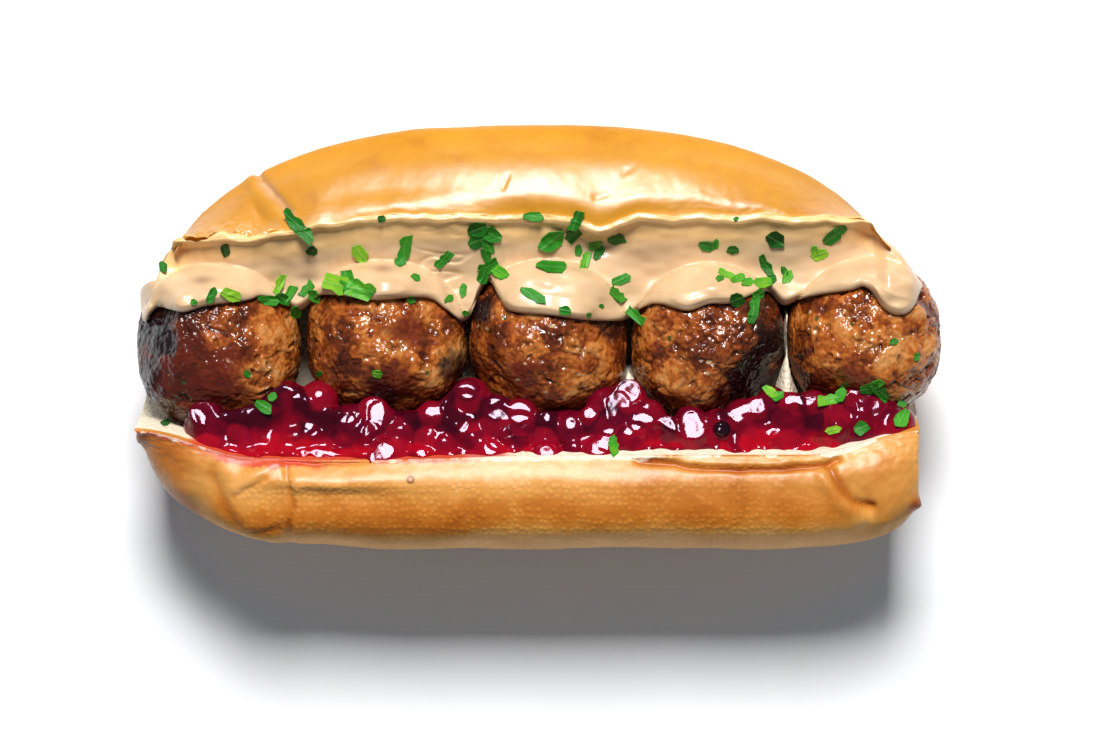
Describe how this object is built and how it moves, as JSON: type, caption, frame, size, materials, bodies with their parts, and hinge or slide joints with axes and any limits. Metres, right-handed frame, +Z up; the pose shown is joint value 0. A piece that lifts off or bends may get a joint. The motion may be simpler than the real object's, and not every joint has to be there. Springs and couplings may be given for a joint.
{
  "type": "meatball submarine sandwich",
  "caption": "Glazed submarine roll opened along one side and lying on its spine, filled with a row of fried meatballs, cream sauce, berry jam and chopped parsley.",
  "frame": {"origin": "middle of the footprint, on the surface that the sandwich lies on", "axes": "+X runs along the roll, +Y points to the domed half with the sauce, +Z points up out of the slit"},
  "size_m": [0.1698, 0.0894, 0.0542],
  "materials": {
    "bread": "baked and glazed golden crust, soft white crumb",
    "meat": "fried and seared mince, moist",
    "cream_sauce": "smooth, wet",
    "berry_jam": "wet jelly with whole berries"
  },
  "bodies": {
    "root": {"roll": "bread", "meatball_1": "meat", "meatball_2": "meat", "meatball_3": "meat", "meatball_4": "meat", "meatball_5": "meat", "cream_sauce": "cream_sauce", "berry_jam": "berry_jam"}
  },
  "joints": []
}
